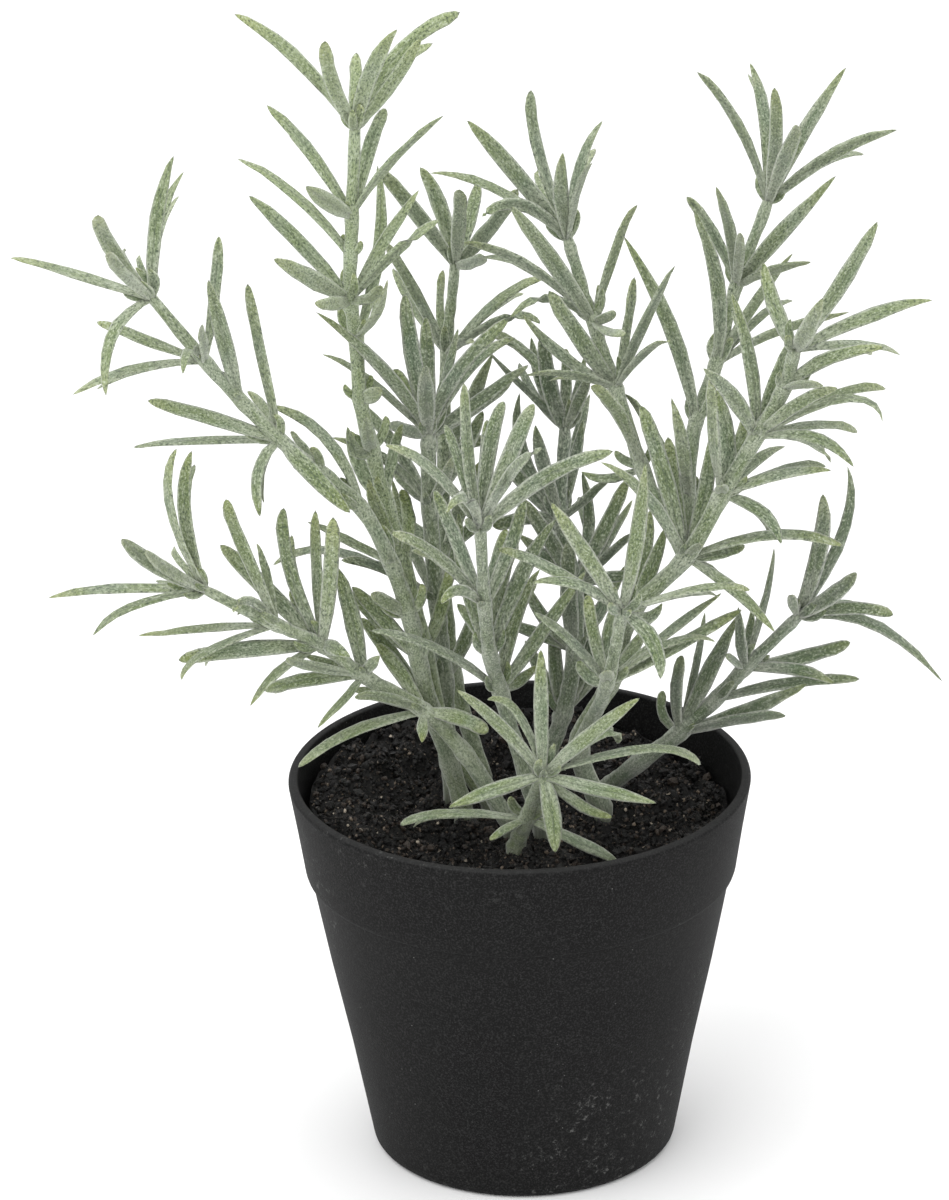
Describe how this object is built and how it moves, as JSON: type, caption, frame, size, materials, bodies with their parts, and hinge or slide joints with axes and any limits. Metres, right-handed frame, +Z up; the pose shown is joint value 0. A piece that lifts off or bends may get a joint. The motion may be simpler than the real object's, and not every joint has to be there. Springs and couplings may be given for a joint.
{
  "type": "potted lavender",
  "caption": "Leafy lavender plant with felted grey-green leaves in whorls, standing in dark soil in a plain round black plastic pot.",
  "frame": {"origin": "middle of the pot's underside, on the surface that it stands on", "axes": "+Z up, -Y towards the front, +X to the right as seen from the front"},
  "size_m": [0.1739, 0.1127, 0.2335],
  "materials": {
    "pot_plastic": "matt, finely pebbled charcoal black",
    "soil": "coarse dark crumbs of peat and bark",
    "foliage": "short grey-green felt"
  },
  "bodies": {
    "root": {"pot": "pot_plastic", "soil": "soil", "leafy_stem_front": "foliage", "leafy_stem_low_left": "foliage", "leafy_stem_centre": "foliage", "leafy_stem_left": "foliage", "leafy_stem_tallest": "foliage", "leafy_stem_dark": "foliage", "leafy_stem_back_left": "foliage", "leafy_stem_back": "foliage", "leafy_stem_right": "foliage", "leafy_stem_low_right": "foliage"}
  },
  "joints": []
}
